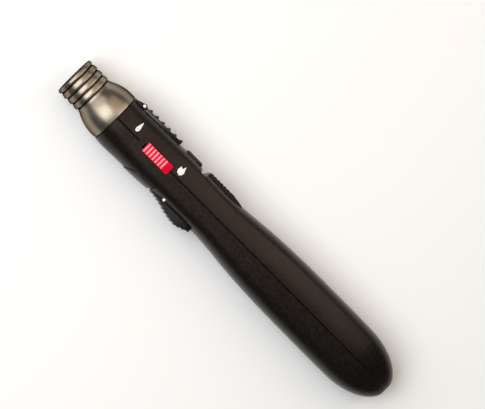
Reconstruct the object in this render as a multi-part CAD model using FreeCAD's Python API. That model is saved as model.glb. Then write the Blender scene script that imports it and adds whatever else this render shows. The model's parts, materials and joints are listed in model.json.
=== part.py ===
import FreeCAD
import Part
import math
import os
from FreeCAD import Vector

# Pen-shaped butane torch, lying on its side as it rests on a bench.
# +X points to the nozzle, -Y is the thumb side, +Y the finger side, +Z the flame-adjuster side.
# A station is the distance back from the nozzle's mouth; h is the height above the torch's axis.
# All sizes are in millimetres.

# ---- whole torch
total_length = 170.0
axis_z = 10.8  # the torch's axis above the surface it lies on
fit = 0.1  # clearance all round a piece that slides or drops in
press = 0.03  # clearance of a piece that is pressed or screwed home

# ---- nozzle sleeve
mouth_radius = 8.35
rim_wall = 0.6
rim_chamfer = 0.25
ring_count = 4
ring_pitch = 2.8
first_groove = 1.45
groove_width = 0.5
groove_depth = 0.42
ring_crown = 0.14
cone_middle = (15.0, 9.95)  # station and radius
cone_end = 22.3
cone_radius = 10.7
cone_chamfer = 0.22
sleeve_bore = 7.4
sleeve_shoulder = 16.3
skirt_bore = 9.4

# ---- moulded body: station, thumb-side width, finger-side width, thickness, fullness, roof angle
panel_gap = 0.2
butt_reach = 20.3  # length of the rounded end
butt_overrun = 1.1  # how much further its curve would need to close to a point
swell_reach = 60.0  # from the torch's end to where the handle is nearly full size
widest_reach = 40.0  # from the torch's end to where the handle is widest
body_sections = [
    (cone_end + panel_gap, 10.75, 10.85, 10.80, 0.5523, 0.0),
    (32.0, 10.50, 10.95, 10.68, 0.60, 3.0),
    (40.0, 10.40, 10.82, 10.64, 0.66, 4.0),
    (48.0, 10.30, 10.38, 10.60, 0.72, 4.0),
    (55.0, 10.15, 9.90, 10.52, 0.77, 4.0),
    (64.0, 9.90, 9.85, 10.45, 0.78, 3.0),
    (76.0, 9.95, 9.95, 10.45, 0.74, 1.5),
    (92.0, 11.30, 11.30, 10.62, 0.71, 0.0),
    (total_length - swell_reach, 12.35, 12.30, 10.80, 0.71, 0.0),
    (total_length - widest_reach, 12.60, 12.55, 10.80, 0.71, 0.0),
    (total_length - butt_reach, 12.50, 12.50, 10.80, 0.70, 0.0),
]
butt_steps = 8
body_wall = 1.6
front_wall = 1.6
seam_bevel = 0.3
spigot_start = 18.0
spigot_bore = 8.1
tail_bore = 6.0  # how deep the end is bored for the fill valve

# ---- burner
carrier_thickness = 1.6
carrier_hub_radius = 4.4
carrier_hub_back = 20.0
carrier_vents = 6
carrier_vent_radius = 0.9
carrier_vent_ring = 6.3
burner_front = 4.0
burner_back = 15.2
burner_radius = 5.2
burner_wall = 0.45
plate_station = 9.0
plate_thickness = 1.2
plate_holes = 6
plate_hole_radius = 0.7
plate_hole_ring = 2.8
mixer_flange = 1.8
mixer_radius = 3.1
mixer_back = 27.5
mixer_throat = 1.5
mixer_mouth = 3.4
air_hole_station = 23.2
air_hole_radius = 0.9
jet_front = 24.8
jet_radius = 1.9
jet_hex = 5.0  # across flats
jet_hex_length = 1.8
orifice_radius = 0.16
barb_radius = 0.88
barb_length = 2.0
gas_bore = 0.45

# ---- spark parts
electrode_offset = 6.3
electrode_radius = 0.35
electrode_back = 24.0
electrode_tip = (2.2, 4.6)  # station, distance from the axis
insulator_front = 5.6
insulator_back = 22.0
insulator_radius = 1.0
lead_radius = 0.6
strip_thickness = 0.3
strip_width = 1.6
strip_front = 22.6

# ---- piezo igniter
piezo_length = 20.0
plunger_reach = 4.65  # how far the plunger stands out of the case
piezo_side = 5.6
piezo_y = -0.6
piezo_h = -5.2
plunger_radius = 1.9
plunger_head_radius = 2.4
plunger_head = 1.0
plunger_depth = 2.0
plunger_spring_turns = 3
plunger_spring_wire = 0.18
coil_steps = 12  # rounds of wire that each turn of a spring is lofted through

# ---- trigger
pivot_station = 56.9
pivot_y = 9.1
pin_radius = 0.6
pin_reach = 5.7  # half the pin's length
trigger_angle = 14.0
trigger_front = 51.4
trigger_back = 72.4
trigger_half_width = 4.1
trigger_tip_y = 10.15
trigger_hump = (66.5, 12.75)
trigger_tail_y = 11.3
trigger_skin = 1.9
trigger_rib_radius = 0.38
trigger_rib_pitch = 1.8
arm_thickness = 2.0
nose_radius = 1.2
ear_radius = 1.45
slot_margin = 0.3

# ---- outlet valve
valve_y = 3.2
stem_radius = 0.8
collar_radius = 1.8
collar_thickness = 1.2
valve_front = 63.0
valve_radius = 2.3
valve_flange_radius = 3.4
valve_flange = 1.1
valve_thread_radius = 2.55
valve_thread_back = 81.0
valve_gland = 1.5
valve_chamber_radius = 1.9
valve_seat = 73.0
valve_seal_thickness = 1.0
valve_head = 1.0
valve_head_radius = 1.5
valve_spring_turns = 6
valve_spring_wire = 0.18
port_station = 67.0
ring_seal_wire = 0.45

# ---- fuel tank
tank_front = 76.0
tank_setback = 13.0  # from the tank to the torch's end
tank_wall = 1.3
tank_end_wall = 2.2
tank_clearance = 0.25
cap_thickness = 3.0
wick_radius = 1.3
wick_short = 7.0  # how far the wick stops before the tank's end

# ---- fill valve
filler_length = 15.7
filler_radius = 2.5
filler_flange_radius = 3.4
filler_flange = 1.2
filler_port_radius = 1.6
filler_port_depth = 2.8
filler_seat = 1.2
filler_chamber_radius = 1.85
filler_chamber_length = 12.7
filler_stem_radius = 0.7
filler_head_radius = 1.5
filler_head = 1.3
filler_travel = 1.2
filler_spring_turns = 6
filler_spring_wire = 0.2
collar_ring_radius = 3.05
collar_ring_thickness = 0.8

# ---- flame adjuster and regulator
pocket_front = 34.3
pocket_back = 50.6
pocket_half_width = 2.65
pocket_floor = 9.75
pocket_corner = 0.5
slider_corner = 0.4
slider_length = 13.0
slider_half_width = 2.1
slider_top = 10.95
slider_rib_count = 7
slider_rib_pitch = 1.5
slider_rib_height = 0.35
slider_rib_width = 0.75
slider_travel = 2.6
slider_neck_half_width = 1.1
slider_neck_length = 9.0
slider_flange_half_width = 1.8
slider_flange = 0.6
slider_web = 0.9  # shell left between the slider's pocket and its flange
crank_radius = 2.7
crank_pin_radius = 0.5
crank_arm_thickness = 1.0
crank_pin_length = 2.2
fork_wall = 0.8
needle_radius = 0.7
needle_station = 43.7
needle_h = 4.5
regulator_length = 6.0
regulator_y = (1.2, 5.4)
regulator_half_height = 1.75
gas_line_y = 3.5
tube_radius = 1.5
tube_bore = 0.9
tube_bend = 2.2
tube_front_run = 3.2  # straight ends of the front gas line
tube_rear_run = 6.0  # straight run of the rear gas line behind the regulator
rear_line_rise = 1.4  # how far the rear gas line rises above the regulator

# ---- lock slider
lock_front = 50.5
lock_length = 7.5
lock_half_width = 4.2
lock_top = 10.95
lock_floor = 8.0
lock_travel = 1.8
lock_slope = 1.7  # run of its slanted end
lock_groove_count = 8
lock_groove_pitch = 0.55
lock_groove_depth = 0.22
lock_tongue_half_width = 1.0
lock_tongue_length = 5.2
lock_foot_half_width = 2.4
lock_foot = 0.7
floor_thickness = 1.2

# ---- thumb rest, thumb grip, finger guard
rest_slope = 1.1  # run of its slanted front
rest_length = 12.0
rest_half_width = 4.6
rest_groove_count = 6
rest_groove_pitch = 1.7
rest_groove_depth = 0.4
grip_bump_station = 27.2
grip_bump_y = 11.75
grip_bump_half_width = 4.8
grip_front = 28.3
grip_back = 46.6
grip_half_width = 4.4
grip_base_y = 11.0
grip_seat_y = 9.7
grip_rib_count = 6
grip_rib_pitch = 3.2
grip_first_rib = 30.1
grip_rib_radius = 0.62
grip_rib_top = 11.75
grip_tab_half_width = 2.4
grip_pin_radius = 0.55
guard_front = 37.6
guard_arch = 6.0
guard_back = 49.7
guard_half_width = 7.0
guard_height = 0.32
notch_floor_y = 8.1
notch_back = 51.2

# ---- screws
screw_places = [(67.5, -6.35), (total_length - 6.8, -4.7)]  # station, h
screw_radius = 0.8
screw_head_radius = 1.5
screw_head = 1.1
screw_length = 11.0
screw_boss_radius = 1.75
screw_sink = 1.6
cross_width = 0.5
cross_depth = 0.6

# ---- worked out from the sizes above
nose_x = total_length / 2
cavity_front = cone_end + panel_gap + front_wall
ring_radius = mouth_radius
butt_start = body_sections[-1][0]
butt_length = butt_reach + butt_overrun
spring_gap = 0.1
plunger_back = pivot_station - nose_radius - 0.05
piezo_back = plunger_back - plunger_reach
piezo_front = piezo_back - piezo_length
tank_back = total_length - tank_setback
wick_back = tank_back - wick_short
filler_end = total_length - collar_ring_thickness
filler_front = filler_end - filler_length
filler_chamber_front = filler_end - filler_chamber_length
angle = math.radians(trigger_angle)
plunger_arm = pivot_y - piezo_y
stem_arm = pivot_y - valve_y
plunger_travel = plunger_arm * angle
stem_travel = stem_arm * angle
slider_back = pocket_back - fit * 3
slider_front = slider_back - slider_length
crank_swing = math.asin(slider_travel / 2 / crank_radius)
rest_front = lock_front + lock_length + lock_slope + lock_travel + fit * 2 + rest_slope
neck_back = slider_back - (slider_length - slider_neck_length) / 2
big = 60.0


def at(station, y, h):
    """The point at a station, y and height h above the axis."""
    return Vector(nose_x - station, y, axis_z + h)


def box(s0, s1, y0, y1, h0, h1):
    return Part.makeBox(s1 - s0, y1 - y0, h1 - h0, at(s1, y0, h0))


def rod(radius, s0, s1, y=0.0, h=0.0):
    """A cylinder along the torch, from station s0 to s1."""
    return Part.makeCylinder(radius, s1 - s0, at(s1, y, h), Vector(1, 0, 0))


def rod_y(radius, y0, y1, station, h):
    return Part.makeCylinder(radius, y1 - y0, at(station, y0, h), Vector(0, 1, 0))


def rod_z(radius, h0, h1, station, y):
    return Part.makeCylinder(radius, h1 - h0, at(station, y, h0), Vector(0, 0, 1))


def edges_through(points, place):
    """Edges through the points. A point given as (middle, end) is reached by an arc through its middle."""
    edges = []
    last = None
    for point in points + [points[0]]:
        if isinstance(point[0], tuple):
            middle, end = point
            edges.append(Part.Arc(place(*last), place(*middle), place(*end)).toShape())
            last = end
        else:
            if last is not None:
                edges.append(Part.makeLine(place(*last), place(*point)))
            last = point
    return edges


def turned(points, y=0.0, h=0.0):
    """A solid of revolution about a line along the torch, from (station, radius) points."""
    wire = Part.Wire(edges_through(points, lambda s, r: at(s, y, h + r)))
    return Part.Face(wire).revolve(at(0, y, h), Vector(1, 0, 0), 360)


def prism(points, h0, h1):
    """(station, y) points extruded along Z, between two heights."""
    wire = Part.Wire(edges_through(points, lambda s, y: at(s, y, h0)))
    return Part.Face(wire).extrude(Vector(0, 0, h1 - h0))


def joined(first, *others):
    return first.fuse(list(others)).removeSplitter()


def rounded_corners(block, radius):
    """A box with its four upright corners rounded."""
    upright = [e for e in block.Edges if abs(e.tangentAt(e.FirstParameter).z) > 0.9]
    return block.makeFillet(radius, upright)


def ring_of(count, radius, make, start=0.0):
    """Copies of a solid around the torch's axis; make takes y and h."""
    places = [start + 2 * math.pi * i / count for i in range(count)]
    return [make(radius * math.sin(a), radius * math.cos(a)) for a in places]


def hose_path(points, bend):
    """Straight runs through the points, joined by tangent arcs of radius bend."""
    edges = []
    last = points[0]
    for before, corner, after in zip(points, points[1:], points[2:]):
        into = (corner - before).normalize()
        out = (after - corner).normalize()
        half_turn = into.getAngle(out) / 2
        cut = bend * math.tan(half_turn)
        start = corner - into * cut
        end = corner + out * cut
        inward = (out - into).normalize()
        middle = corner + inward * (bend / math.cos(half_turn) - bend)
        edges += [Part.makeLine(last, start), Part.Arc(start, middle, end).toShape()]
        last = end
    edges.append(Part.makeLine(last, points[-1]))
    return Part.Wire(edges)


def swept(path, radius):
    start = path.Edges[0]
    where = start.valueAt(start.FirstParameter)
    along = start.tangentAt(start.FirstParameter)
    circle = Part.Wire(Part.makeCircle(radius, where, along))
    return path.makePipeShell([circle], True, True)


def coil(mean_radius, wire_radius, s0, s1, turns, y, h):
    """A compression spring along the torch, between two stations, made turn by turn."""
    rise = (s1 - s0 - 2 * wire_radius) / (turns * coil_steps)
    wires = []
    for step in range(turns * coil_steps + 1):
        turn = 2 * math.pi * step / coil_steps
        across, up = math.sin(turn), math.cos(turn)
        centre = at(s0 + wire_radius + rise * step, y + mean_radius * across, h + mean_radius * up)
        along = Vector(-rise * coil_steps / (2 * math.pi * mean_radius), up, -across)
        ring = Part.Circle(centre, along, wire_radius)
        ring.XAxis = Vector(0, across, up)
        wires.append(Part.Wire(ring.toShape()))
    starts = range(0, turns * coil_steps, coil_steps)
    return joined(*[Part.makeLoft(wires[i : i + coil_steps + 1], True, True) for i in starts])


def ring_seal(radius, station, y=0.0, h=0.0):
    return Part.makeTorus(radius, ring_seal_wire, at(station, y, h), Vector(1, 0, 0))


# ---- body sections


def half_section(side, station, width, thickness, fullness, roof, bevel):
    """One half of the body's outline at a station: side -1 is the thumb half and +1 the finger half."""

    def point(y, h):
        return at(station, side * y, h)

    def curve(*poles):
        bezier = Part.BezierCurve()
        bezier.setPoles([point(*p) for p in poles])
        return bezier.toShape()

    reach = bevel + fullness * (width - bevel)
    shoulder = thickness - (reach - bevel) * math.tan(math.radians(roof))
    flank = fullness * thickness
    edges = [
        curve((bevel, thickness), (reach, shoulder), (width, flank), (width, 0)),
        curve((width, 0), (width, -flank), (reach, -shoulder), (bevel, -thickness)),
    ]
    if bevel:
        edges.insert(0, Part.makeLine(point(0, thickness - bevel), point(bevel, thickness)))
        edges.append(Part.makeLine(point(bevel, -thickness), point(0, bevel - thickness)))
    edges.append(Part.makeLine(point(0, bevel - thickness), point(0, thickness - bevel)))
    return Part.Wire(edges)


def body_half(side, inset=0.0, bevel=0.0):
    """One half of the body as a closed solid, its surface moved inwards by inset."""
    wires = []
    for station, thumb, finger, thickness, fullness, roof in body_sections:
        width = (thumb if side < 0 else finger) - inset
        wires.append(half_section(side, station, width, thickness - inset, fullness, roof, bevel))
    last = math.asin((total_length - butt_start) / butt_length)
    for step in range(1, butt_steps + 1):
        turn = last * step / butt_steps
        station = butt_start + (butt_length - inset) * math.sin(turn)
        shrink = math.cos(turn)
        wires.append(
            half_section(
                side,
                station,
                width * shrink,
                (thickness - inset) * shrink,
                fullness,
                roof,
                bevel,
            )
        )
    return Part.makeLoft(wires, True, False)


def body_slice(inset, s0, s1):
    """The whole body moved inwards by inset, between two stations."""
    span = box(s0, s1, -big, big, -big, big)
    return joined(*[body_half(side, inset).common(span) for side in (-1, 1)])


def half_space(side, s0, s1):
    low, high = (-big, 0.0) if side < 0 else (0.0, big)
    return box(s0, s1, low, high, -big, big)


# ---- nozzle and burner


def nozzle_sleeve():
    outline = [(0.0, mouth_radius - rim_wall), (0.0, mouth_radius - rim_chamfer)]
    outline.append((rim_chamfer, mouth_radius))
    land = rim_chamfer
    for i in range(ring_count):
        groove = first_groove + i * ring_pitch
        crown = ((land + groove) / 2, ring_radius + ring_crown)
        outline.append((crown, (groove, ring_radius)))
        outline.append((groove, ring_radius - groove_depth))
        land = groove + groove_width
        outline.append((land, ring_radius - groove_depth))
        outline.append((land, ring_radius - 0.05))
    outline.append((cone_middle, (cone_end - cone_chamfer, cone_radius)))
    outline.append((cone_end, cone_radius - cone_chamfer))
    outline.append((cone_end, skirt_bore))
    outline.append((sleeve_shoulder, skirt_bore))
    outline.append((sleeve_shoulder, sleeve_bore))
    outline.append((first_groove, sleeve_bore))
    return turned(outline)


def burner_carrier():
    disc = rod(skirt_bore - fit, sleeve_shoulder, sleeve_shoulder + carrier_thickness)
    hub = rod(carrier_hub_radius, sleeve_shoulder, carrier_hub_back)
    cuts = [rod(mixer_radius + press, sleeve_shoulder - 1, carrier_hub_back + 1)]
    cuts.append(rod(insulator_radius + press, 0, carrier_hub_back, 0, -electrode_offset))
    span = math.radians(240)
    for i in range(carrier_vents):
        a = -span / 2 + span * i / (carrier_vents - 1)
        y, h = carrier_vent_ring * math.sin(a), carrier_vent_ring * math.cos(a)
        cuts.append(rod(carrier_vent_radius, sleeve_shoulder - 1, carrier_hub_back, y, h))
    return joined(disc, hub).cut(cuts)


def burner_tube():
    outer = rod(burner_radius, burner_front, burner_back)
    return outer.cut(rod(burner_radius - burner_wall, burner_front - 1, burner_back + 1))


def burner_plate():
    disc_radius = burner_radius - burner_wall - press
    disc = rod(disc_radius, plate_station, plate_station + plate_thickness)
    ends = (plate_station - 1, plate_station + plate_thickness + 1)
    holes = ring_of(plate_holes, plate_hole_ring, lambda y, h: rod(plate_hole_radius, *ends, y, h))
    return disc.cut(holes + [rod(plate_hole_radius, *ends)])


def mixer_tube():
    flange_front = burner_back - mixer_flange
    flange_radius = burner_radius - burner_wall - press
    body = turned(
        [
            (flange_front, mixer_mouth),
            (flange_front, flange_radius),
            (burner_back, flange_radius),
            (burner_back, mixer_radius),
            (mixer_back, mixer_radius),
            (mixer_back, jet_radius + press),
            (jet_front, jet_radius + press),
            (jet_front, mixer_throat),
            (air_hole_station - air_hole_radius - 1, mixer_throat),
        ]
    )
    across = rod_y(air_hole_radius, -mixer_radius - 1, mixer_radius + 1, air_hole_station, 0)
    upright = rod_z(air_hole_radius, -mixer_radius - 1, mixer_radius + 1, air_hole_station, 0)
    return body.cut([across, upright])


def jet_orifice():
    thread = rod(jet_radius, jet_front, mixer_back)
    corner = jet_hex / math.sqrt(3)
    corners = [
        (corner * math.cos(math.radians(60 * i)), corner * math.sin(math.radians(60 * i)))
        for i in range(6)
    ]
    wire = Part.makePolygon([at(mixer_back + jet_hex_length, *c) for c in corners + corners[:1]])
    hexagon = Part.Face(wire).extrude(Vector(jet_hex_length, 0, 0))
    barb_front = mixer_back + jet_hex_length
    barb = rod(barb_radius, barb_front, barb_front + barb_length)
    bore = rod(gas_bore, jet_front + 1, barb_front + barb_length + 1)
    return joined(thread, hexagon, barb).cut([bore, rod(orifice_radius, jet_front - 1, mixer_back)])


# ---- spark parts


def electrode_wire():
    tip_station, tip_offset = electrode_tip
    points = [
        at(electrode_back, 0, -electrode_offset),
        at(burner_front + 0.3, 0, -electrode_offset),
        at(tip_station, 0, -tip_offset),
    ]
    return swept(hose_path(points, 3 * electrode_radius), electrode_radius)


def electrode_insulator():
    outer = rod(insulator_radius, insulator_front, insulator_back, 0, -electrode_offset)
    bore = rod(electrode_radius + press, insulator_front - 1, insulator_back + 1, 0, -electrode_offset)
    return outer.cut(bore)


def ignition_lead():
    points = [
        at(electrode_back, 0, -electrode_offset),
        at(electrode_back + 2.2, 0, -electrode_offset),
        at(piezo_front - 2.2, piezo_y, piezo_h - 0.6),
        at(piezo_front, piezo_y, piezo_h - 0.6),
    ]
    return swept(hose_path(points, 3 * lead_radius), lead_radius)


def ground_strip():
    top = -mixer_radius - press
    return box(
        strip_front, piezo_front, -strip_width / 2, strip_width / 2, top - strip_thickness, top
    )


def piezo_case():
    half = piezo_side / 2
    case = box(piezo_front, piezo_back, piezo_y - half, piezo_y + half, piezo_h - half, piezo_h + half)
    depth = piezo_back - plunger_depth - plunger_travel - spring_gap
    return case.cut(rod(plunger_radius + fit, depth, piezo_back + 1, piezo_y, piezo_h))


def piezo_plunger():
    shaft = rod(plunger_radius, piezo_back - plunger_depth, plunger_back, piezo_y, piezo_h)
    head = rod(plunger_head_radius, plunger_back - plunger_head, plunger_back, piezo_y, piezo_h)
    return joined(shaft, head)


def piezo_spring():
    mean = plunger_radius + plunger_spring_wire + 0.06
    front = piezo_back + spring_gap
    back = plunger_back - plunger_head - spring_gap
    wire = plunger_spring_wire
    return coil(mean, wire, front, back, plunger_spring_turns, piezo_y, piezo_h)


# ---- trigger


def trigger_face(station):
    """How far out the trigger's finger face lies at a station: two half-cosine slopes about its hump."""
    hump_station, hump_y = trigger_hump
    if station < hump_station:
        share = (station - trigger_front) / (hump_station - trigger_front)
        low = trigger_tip_y
    else:
        share = (trigger_back - station) / (trigger_back - hump_station)
        low = trigger_tail_y
    return low + (hump_y - low) * (1 - math.cos(math.pi * share)) / 2


def trigger():
    face = [trigger_front + (trigger_back - trigger_front) * i / 12 for i in range(13)]
    spline = Part.BSplineCurve()
    low = -trigger_half_width
    spline.interpolate([at(s, trigger_face(s), low) for s in face])
    web_front = pivot_station - arm_thickness / 2
    web_back = pivot_station + arm_thickness / 2
    inner_y = pivot_y - ear_radius
    inner = [
        (trigger_back, trigger_tail_y),
        (trigger_back, trigger_tail_y - trigger_skin + 0.2),
        (trigger_hump[0], trigger_hump[1] - 2 * trigger_skin),
        (web_back + 2.5, inner_y),
        (trigger_front + 1.0, inner_y),
        (trigger_front, inner_y + 0.8),
        (trigger_front, trigger_tip_y),
    ]
    lines = [Part.makeLine(at(*a, low), at(*b, low)) for a, b in zip(inner, inner[1:])]
    outline = Part.Wire(Part.__sortEdges__([spline.toShape()] + lines))
    pad = Part.Face(outline).extrude(Vector(0, 0, 2 * trigger_half_width))
    ribs = []
    station = trigger_front + 0.8
    while station < trigger_back - 0.5:
        y = trigger_face(station)
        half = trigger_half_width - 0.4
        ribs.append(rod_z(trigger_rib_radius, -half, half, station, y))
        station += trigger_rib_pitch
    fork_half = stem_radius + 1.7
    root_half = trigger_half_width - 0.4
    prongs = box(web_front, web_back, valve_y, inner_y + 0.5, -fork_half, fork_half)
    prong_nose = rod_z(nose_radius, -fork_half, fork_half, pivot_station, valve_y)
    arm_low = piezo_h - nose_radius
    arm_high = 0.01 - fork_half
    arm = box(web_front, web_back, piezo_y, inner_y + 0.5, -root_half, arm_high)
    foot = box(web_front, web_back, piezo_y, piezo_y + 3 * nose_radius, arm_low, arm_high)
    arm_nose = rod_z(nose_radius, arm_low, arm_high, pivot_station, piezo_y)
    slot_half = stem_radius + fit * 1.5
    slot_top = valve_y + stem_radius + 0.6
    slot = box(web_front - 2, web_back + 2, piezo_y, slot_top, -slot_half, slot_half)
    pin_hole = rod_z(pin_radius + 0.04, -big, big, pivot_station, pivot_y)
    lever = joined(prongs, prong_nose, arm, foot, arm_nose).cut(slot)
    return joined(pad, lever, *ribs).cut(pin_hole)


def trigger_pin():
    return rod_z(pin_radius, -pin_reach, pin_reach, pivot_station, pivot_y)


# ---- outlet valve


def valve_body():
    flange_back = tank_front - 2 * ring_seal_wire
    body = turned(
        [
            (valve_front, stem_radius + 0.05),
            (valve_front, valve_radius),
            (flange_back - valve_flange, valve_radius),
            (flange_back - valve_flange, valve_flange_radius),
            (flange_back, valve_flange_radius),
            (flange_back, valve_thread_radius),
            (valve_thread_back, valve_thread_radius),
            (valve_thread_back, gas_bore),
            (valve_seat, gas_bore),
            (valve_seat, valve_chamber_radius),
            (valve_front + valve_gland, valve_chamber_radius),
            (valve_front + valve_gland, stem_radius + 0.05),
        ],
        valve_y,
    )
    port_top = needle_h + rear_line_rise - tube_bend
    port = rod_z(barb_radius, valve_radius - 0.3, port_top, port_station, valve_y)
    bore = rod_z(gas_bore, 0.5 * valve_radius, port_top + 1, port_station, valve_y)
    return joined(body, port).cut(bore)


def valve_stem():
    shaft = rod(stem_radius, plunger_back - collar_thickness, valve_seat - valve_seal_thickness, valve_y)
    collar = rod(collar_radius, plunger_back - collar_thickness, plunger_back, valve_y)
    head_back = valve_seat - valve_seal_thickness
    head = rod(valve_head_radius, head_back - valve_head, head_back, valve_y)
    return joined(shaft, collar, head)


def valve_seal():
    return rod(valve_head_radius, valve_seat - valve_seal_thickness, valve_seat - 0.01, valve_y)


def valve_spring():
    mean = (stem_radius + valve_chamber_radius) / 2
    front = valve_front + valve_gland + spring_gap
    back = valve_seat - valve_seal_thickness - valve_head - spring_gap
    return coil(mean, valve_spring_wire, front, back, valve_spring_turns, valve_y, 0)


def valve_ring_seal():
    return ring_seal(valve_thread_radius + ring_seal_wire + press, tank_front - ring_seal_wire, valve_y)


# ---- fuel tank and fill valve


def fuel_tank():
    inset = body_wall + tank_clearance
    outer = body_slice(inset, tank_front, tank_back)
    inner = body_slice(inset + tank_wall, tank_front - 1, tank_back - tank_end_wall)
    return outer.cut([inner, rod(filler_radius + press, tank_back - tank_end_wall - 1, tank_back + 1)])


def tank_cap():
    inset = body_wall + tank_clearance + tank_wall + press
    plug = body_slice(inset, tank_front, tank_front + cap_thickness)
    return plug.cut(rod(valve_thread_radius + press, tank_front - 1, tank_front + cap_thickness + 1, valve_y))


def wick():
    return rod(wick_radius, valve_thread_back, wick_back, valve_y)


def fill_valve_body():
    port_floor = filler_end - filler_port_depth
    seat = port_floor - filler_seat
    flange_front = tank_back + 2 * ring_seal_wire
    return turned(
        [
            (filler_end, filler_port_radius),
            (filler_end, filler_radius),
            (flange_front + filler_flange, filler_radius),
            (flange_front + filler_flange, filler_flange_radius),
            (flange_front, filler_flange_radius),
            (flange_front, filler_radius),
            (filler_front, filler_radius),
            (filler_front, gas_bore),
            (filler_chamber_front, gas_bore),
            (filler_chamber_front, filler_chamber_radius),
            (seat, filler_chamber_radius),
            (seat, filler_stem_radius + 0.25),
            (port_floor, filler_stem_radius + 0.25),
            (port_floor, filler_port_radius),
        ]
    )


def fill_valve_stem():
    seat = filler_end - filler_port_depth - filler_seat
    pin = rod(filler_stem_radius, seat - filler_head, seat + filler_seat - 0.05)
    return joined(pin, rod(filler_head_radius, seat - filler_head, seat - 0.02))


def fill_valve_spring():
    seat = filler_end - filler_port_depth - filler_seat
    back = seat - filler_head - spring_gap
    mean = filler_head_radius - filler_spring_wire
    front = filler_chamber_front + spring_gap
    return coil(mean, filler_spring_wire, front, back, filler_spring_turns, 0, 0)


def fill_valve_ring_seal():
    return ring_seal(filler_radius + ring_seal_wire + press, tank_back + ring_seal_wire)


def filler_collar():
    ring = rod(collar_ring_radius, total_length - collar_ring_thickness, total_length)
    return ring.cut(rod(filler_radius + press, total_length - 3, total_length + 1))


# ---- flame adjuster


def adjuster_slider():
    bottom = pocket_floor + fit
    block = box(slider_front, slider_back, -slider_half_width, slider_half_width, bottom, slider_top)
    block = rounded_corners(block, slider_corner)
    ribs = []
    for i in range(slider_rib_count):
        s = slider_front + 0.35 + i * slider_rib_pitch
        half = slider_half_width - 0.2
        ribs.append(
            box(s, s + slider_rib_width, -half, half, slider_top - 0.1, slider_top + slider_rib_height)
        )
    neck_front = neck_back - slider_neck_length
    underside = pocket_floor - slider_web - fit
    neck = box(
        neck_front,
        neck_back,
        -slider_neck_half_width,
        slider_neck_half_width,
        underside - slider_flange,
        bottom + 0.1,
    )
    flange = box(
        neck_front,
        neck_back,
        -slider_flange_half_width,
        slider_flange_half_width,
        underside - slider_flange,
        underside,
    )
    pin_s, pin_h = crank_pin_place()
    gap = crank_pin_radius + fit
    prongs = [
        box(
            pin_s + low,
            pin_s + high,
            -slider_neck_half_width,
            slider_neck_half_width,
            pin_h - crank_pin_radius - 0.2,
            underside - slider_flange + 0.1,
        )
        for low, high in ((-gap - fork_wall, -gap), (gap, gap + fork_wall))
    ]
    return joined(block, neck, flange, *ribs, *prongs)


def crank_pin_place():
    """Station and height of the crank pin with the adjuster at its rear, full-flame end."""
    s = needle_station + crank_radius * math.sin(crank_swing)
    return s, needle_h + crank_radius * math.cos(crank_swing)


def regulator_needle():
    pin_s, pin_h = crank_pin_place()
    arm_in = -slider_neck_half_width - fit * 2
    arm_out = arm_in - crank_arm_thickness
    tip_y = gas_line_y + gas_bore
    shaft = rod_y(needle_radius, arm_out - 1.6, gas_line_y - gas_bore - 0.1, needle_station, needle_h)
    tip = Part.makeCone(
        needle_radius,
        0.2,
        tip_y - gas_line_y + gas_bore,
        at(needle_station, gas_line_y - gas_bore - 0.1, needle_h),
        Vector(0, 1, 0),
    )
    hub = rod_y(needle_radius + 0.6, arm_out, arm_in, needle_station, needle_h)
    boss = rod_y(crank_pin_radius + 0.35, arm_out, arm_in, pin_s, pin_h)
    half = crank_pin_radius + 0.2
    bar = box(needle_station - half, needle_station + half, arm_out, arm_in, needle_h, needle_h + crank_radius)
    bar.rotate(at(needle_station, 0, needle_h), Vector(0, 1, 0), -math.degrees(crank_swing))
    pin = rod_y(crank_pin_radius, arm_in - 0.1, arm_in + crank_pin_length, pin_s, pin_h)
    return joined(shaft, tip, hub, boss, bar, pin)


def regulator_body():
    front = needle_station - regulator_length / 2
    back = needle_station + regulator_length / 2
    block = box(
        front,
        back,
        *regulator_y,
        needle_h - regulator_half_height,
        needle_h + regulator_half_height,
    )
    barbs = rod(barb_radius, front - barb_length, back + barb_length, gas_line_y, needle_h)
    line = rod(gas_bore, front - barb_length - 1, back + barb_length + 1, gas_line_y, needle_h)
    seat_end = gas_line_y + gas_bore + 0.3
    seat = rod_y(needle_radius + 0.04, regulator_y[0] - 1, seat_end, needle_station, needle_h)
    return joined(block, barbs).cut([line, seat])


def gas_tube(points):
    path = hose_path(points, tube_bend)
    return swept(path, tube_radius).cut(swept(path, tube_bore))


def front_gas_tube():
    start = mixer_back + jet_hex_length + fit
    end = needle_station - regulator_length / 2 - fit
    points = [
        at(start, 0, 0),
        at(start + tube_front_run, 0, 0),
        at(end - tube_front_run, gas_line_y, needle_h),
        at(end, gas_line_y, needle_h),
    ]
    return gas_tube(points)


def rear_gas_tube():
    end = needle_station + regulator_length / 2 + fit
    points = [
        at(port_station, valve_y, valve_radius + fit),
        at(port_station, valve_y, needle_h + rear_line_rise),
        at(end + tube_rear_run, gas_line_y, needle_h),
        at(end, gas_line_y, needle_h),
    ]
    return gas_tube(points)


# ---- lock slider


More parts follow.
